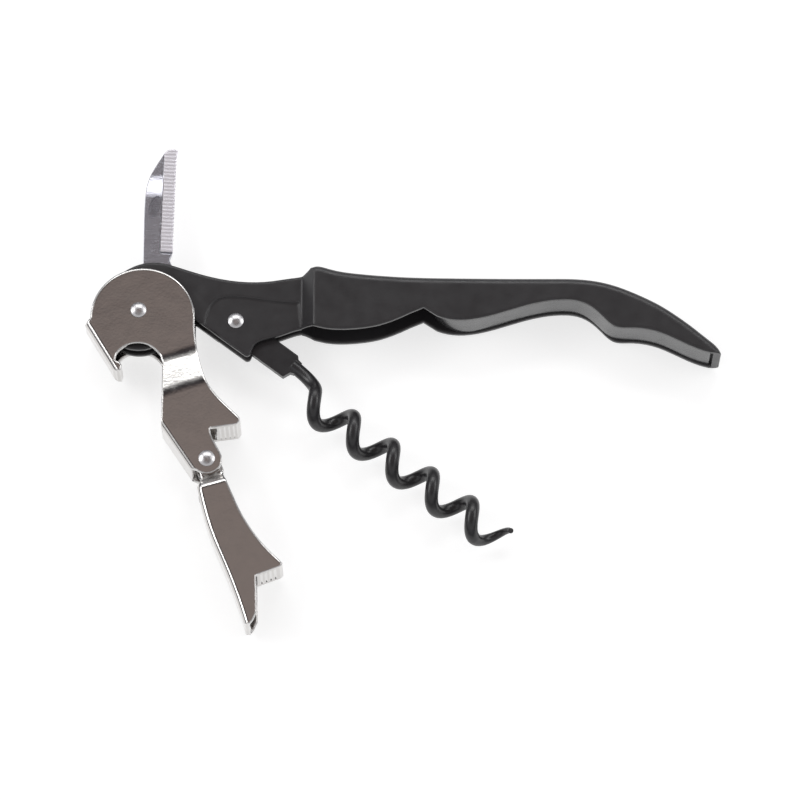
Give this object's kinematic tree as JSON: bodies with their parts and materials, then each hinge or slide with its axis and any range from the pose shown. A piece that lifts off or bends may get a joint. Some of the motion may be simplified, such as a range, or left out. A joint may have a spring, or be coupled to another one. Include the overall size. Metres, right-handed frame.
{
  "type": "waiters corkscrew",
  "caption": "Folding waiter's corkscrew with a hinged two-step lever, a coated helical worm, a serrated foil knife and a wavy black grip.",
  "frame": {"origin": "centre of the bounding box at its lowest level, with the corkscrew lying on its side and unfolded", "axes": "+Z along every hinge axis, up from the surface it lies on; +X from the lever head towards the tail of the grip; +Y towards the knife's side"},
  "size_m": [0.1202, 0.095, 0.011],
  "materials": {
    "black_paint": "satin black powder coat over folded steel",
    "black_plastic": "moulded satin",
    "rivet_steel": "bright domed heads",
    "washer_steel": "plain",
    "blade_steel": "satin flat with a bright ground bevel",
    "worm_coating": "smooth dark low-friction coating over steel wire",
    "lever_chrome": "bright nickel plate on pressed sheet"
  },
  "bodies": {
    "frame": {"handle_shell": "black_paint", "grip_insert": "black_plastic", "main_rivet": "rivet_steel", "worm_rivet": "rivet_steel", "washer_upper": "washer_steel", "washer_lower": "washer_steel"},
    "knife": {"knife_blade": "blade_steel"},
    "worm": {"worm": "worm_coating"},
    "lever": {"lever_upper": "lever_chrome", "foot_rivet": "rivet_steel"},
    "lever_foot": {"lever_foot": "lever_chrome"}
  },
  "joints": [
    {"name": "lever_swing", "type": "hinge", "parent": "frame", "child": "lever", "pos_m": [-0.05001, 0.01401, 0.0055], "axis": [0, 0, 1], "range_deg": [-58, 38.5]},
    {"name": "foot_fold", "type": "hinge", "parent": "lever", "child": "lever_foot", "pos_m": [-0.03671, -0.01559, 0.0055], "axis": [0, 0, 1], "range_deg": [-12, 26]},
    {"name": "worm_fold", "type": "hinge", "parent": "frame", "child": "worm", "pos_m": [-0.03161, 0.01241, 0.0055], "axis": [0, 0, 1], "range_deg": [-54, 36]},
    {"name": "knife_fold", "type": "hinge", "parent": "frame", "child": "knife", "pos_m": [-0.05001, 0.01401, 0.0055], "axis": [0, 0, 1], "range_deg": [-66, 20]}
  ],
  "couplings": [
    {"joint": "worm_fold", "follows": "lever_swing", "ratio": 0.925}
  ]
}
